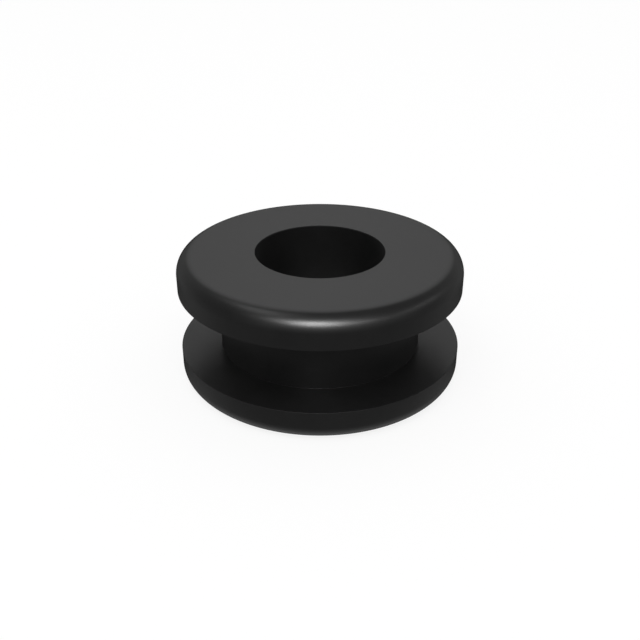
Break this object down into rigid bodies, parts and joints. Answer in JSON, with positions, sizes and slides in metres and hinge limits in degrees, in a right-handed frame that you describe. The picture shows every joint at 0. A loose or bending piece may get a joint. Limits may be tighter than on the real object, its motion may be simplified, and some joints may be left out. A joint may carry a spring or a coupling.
{
  "type": "rubber grommet",
  "caption": "Round rubber grommet with two equal flanges, a groove between them for a panel's edge and a straight bore for a cable.",
  "frame": {"origin": "centre of the lower flange's flat face, on the axis of the bore", "axes": "+Z along the bore, towards the upper flange; +X and +Y lie anywhere round the axis, because the part is round"},
  "size_m": [0.022, 0.022, 0.01],
  "materials": {
    "rubber": "smooth moulded black rubber, satin"
  },
  "bodies": {
    "root": {"grommet": "rubber"}
  },
  "joints": []
}
